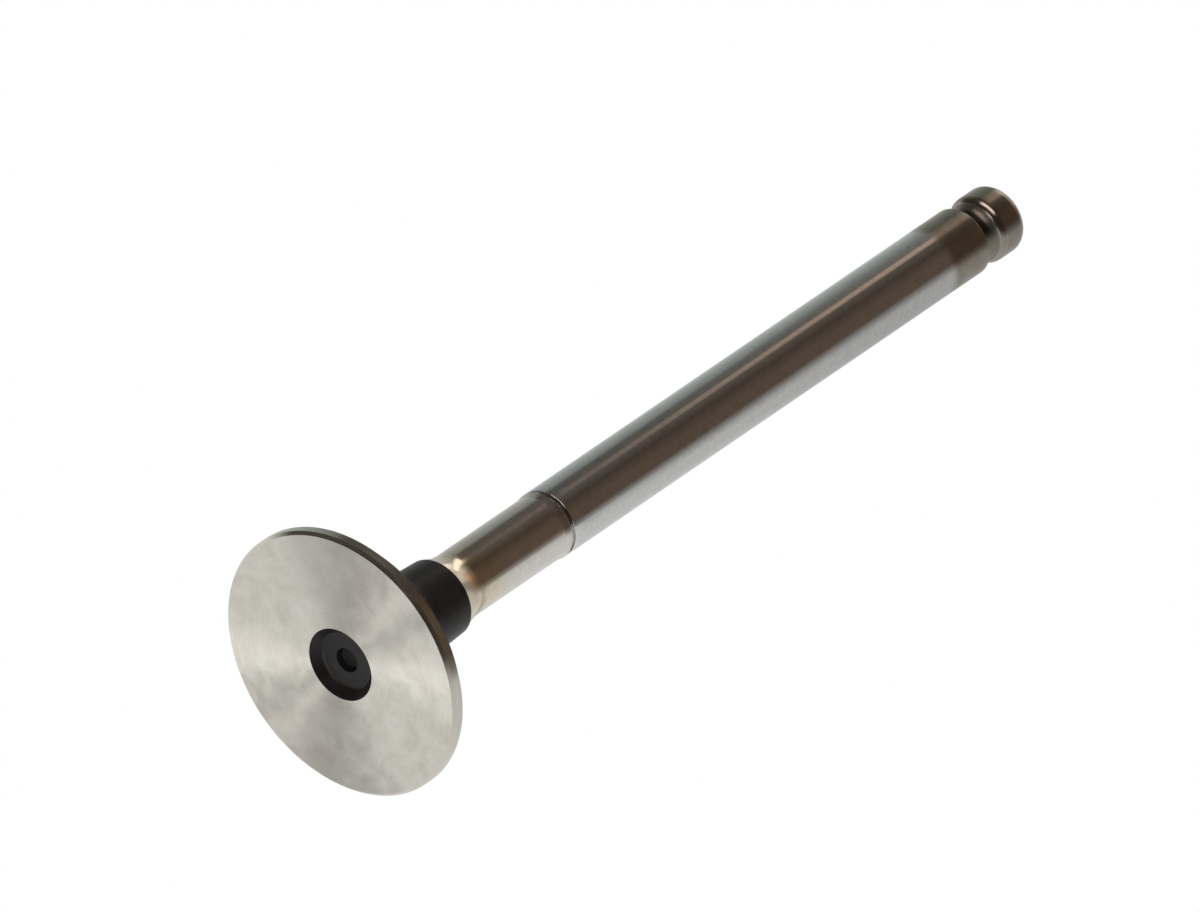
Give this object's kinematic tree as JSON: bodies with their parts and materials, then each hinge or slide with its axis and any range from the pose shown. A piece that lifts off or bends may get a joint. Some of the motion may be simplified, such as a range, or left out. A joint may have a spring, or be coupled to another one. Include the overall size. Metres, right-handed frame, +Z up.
{
  "type": "engine valve",
  "caption": "One-piece poppet valve with a flat dimpled head, a dark forged neck, a ground stem stepped at a scraper edge, and a half-round keeper groove near its rounded tip.",
  "frame": {"origin": "centre of the flat combustion face, on the valve's axis", "axes": "+Z up the stem to the tip; +X and +Y are any two square directions in the plane of the face"},
  "size_m": [0.0316, 0.0316, 0.115],
  "materials": {
    "valve_steel": "ground and hard chromed stem, turned face, neck and dimple left dark as forged"
  },
  "bodies": {
    "root": {"valve": "valve_steel"}
  },
  "joints": []
}
